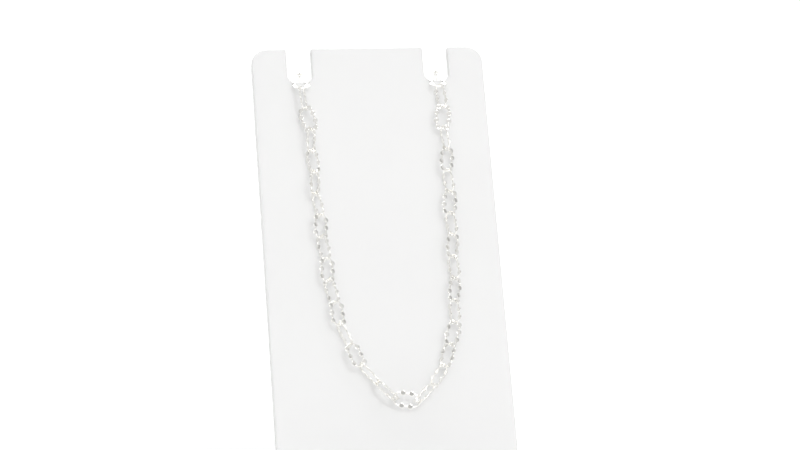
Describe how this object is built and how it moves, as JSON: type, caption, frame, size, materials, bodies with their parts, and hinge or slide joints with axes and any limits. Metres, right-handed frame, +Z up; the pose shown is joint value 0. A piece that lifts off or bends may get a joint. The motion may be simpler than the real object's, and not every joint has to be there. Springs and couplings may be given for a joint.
{
  "type": "daisy chain necklace on a display stand",
  "caption": "Fine chain of oval wire links with small flat discs, hung as a long loop over two slots in the top edge of a slant-back display board bent from one sheet.",
  "frame": {"origin": "on the table, under the middle of the stand", "axes": "+Z up, the board's face towards -Y, +X to the right as seen from the front"},
  "size_m": [0.07, 0.077, 0.1313],
  "materials": {
    "board": "glossy white acrylic sheet with polished edges",
    "silver": "bright polished silver"
  },
  "bodies": {
    "root": {"display_stand": "board", "chain_front": "silver", "chain_back": "silver", "clasp": "silver", "end_ring": "silver"}
  },
  "joints": []
}
